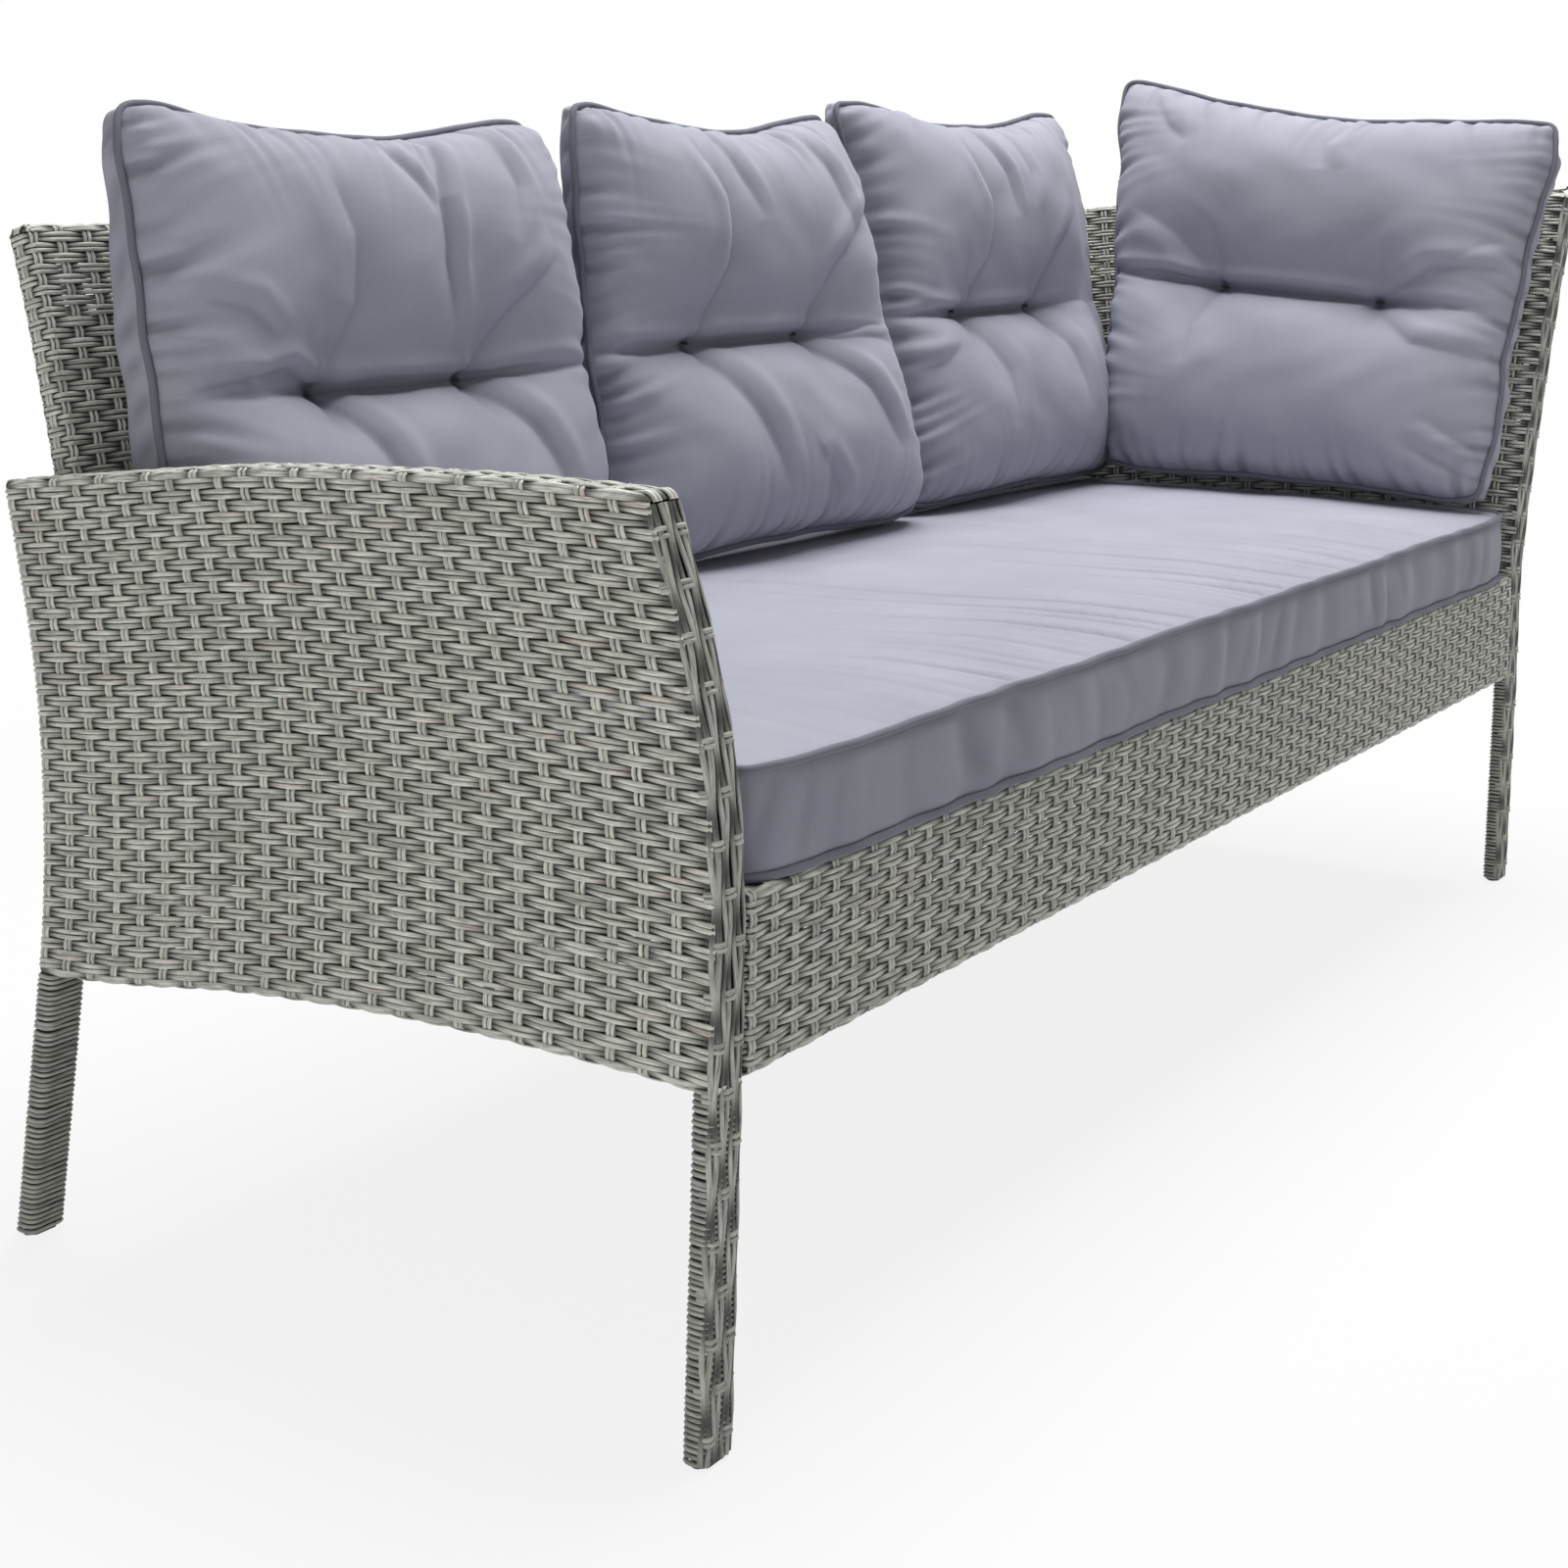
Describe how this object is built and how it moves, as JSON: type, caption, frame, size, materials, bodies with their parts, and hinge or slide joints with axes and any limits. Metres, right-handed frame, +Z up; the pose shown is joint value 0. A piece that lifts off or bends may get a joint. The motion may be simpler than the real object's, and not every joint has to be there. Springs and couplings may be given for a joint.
{
  "type": "garden sofa",
  "caption": "Rattan garden sofa: low woven arm at the left, tall woven end panel at the right, woven back that leans, boxed seat cushion and tufted back and end cushions.",
  "frame": {"origin": "middle of the bounding box in X and Y, on the floor that the four glides stand on", "axes": "+X along the seat from the low arm to the tall end panel, +Y from the front of the seat to the back, +Z up"},
  "size_m": [1.9098, 0.7684, 0.9862],
  "materials": {
    "woven_rattan": "woven polyethylene strands, mottled light grey",
    "coated_steel": "satin powder coat",
    "zinc_steel": "zinc plated",
    "glide_plastic": "moulded",
    "cushion_cloth": "plain woven outdoor cloth over foam"
  },
  "bodies": {
    "root": {"arm_woven_cover": "woven_rattan", "arm_front_leg_tube": "coated_steel", "arm_rear_leg_tube": "coated_steel", "arm_front_leg_wrap": "woven_rattan", "arm_rear_leg_wrap": "woven_rattan", "arm_front_glide": "glide_plastic", "arm_rear_glide": "glide_plastic", "arm_top_rail": "coated_steel", "arm_bottom_rail": "coated_steel", "arm_seat_rail": "coated_steel", "arm_front_bolt": "zinc_steel", "arm_rear_bolt": "zinc_steel", "end_woven_cover": "woven_rattan", "end_front_leg_tube": "coated_steel", "end_rear_leg_tube": "coated_steel", "end_front_leg_wrap": "woven_rattan", "end_rear_leg_wrap": "woven_rattan", "end_front_glide": "glide_plastic", "end_rear_glide": "glide_plastic", "end_top_rail": "coated_steel", "end_bottom_rail": "coated_steel", "end_seat_rail": "coated_steel", "end_front_bolt": "zinc_steel", "end_rear_bolt": "zinc_steel", "seat_rear_rail": "coated_steel", "seat_side_rail_left": "coated_steel", "seat_side_rail_right": "coated_steel", "seat_cross_bar_1": "coated_steel", "seat_cross_bar_2": "coated_steel", "seat_cross_bar_3": "coated_steel", "seat_woven_deck": "woven_rattan", "apron_woven_cover": "woven_rattan", "apron_front_rail": "coated_steel", "apron_bottom_rail": "coated_steel", "apron_left_end_post": "coated_steel", "apron_left_post": "coated_steel", "apron_right_post": "coated_steel", "apron_right_end_post": "coated_steel", "back_woven_cover": "woven_rattan", "back_top_rail": "coated_steel", "back_bottom_rail": "coated_steel", "back_left_post": "coated_steel", "back_mid_left_post": "coated_steel", "back_mid_right_post": "coated_steel", "back_right_post": "coated_steel", "back_seat_rail_left": "coated_steel", "back_seat_rail_middle": "coated_steel", "back_seat_rail_right": "coated_steel", "back_bolt_1": "zinc_steel", "back_bolt_2": "zinc_steel", "back_bolt_3": "zinc_steel", "back_bolt_4": "zinc_steel", "back_cushion_left": "cushion_cloth", "back_cushion_middle": "cushion_cloth", "back_cushion_right": "cushion_cloth", "end_cushion": "cushion_cloth", "seat_cushion": "cushion_cloth"}
  },
  "joints": []
}
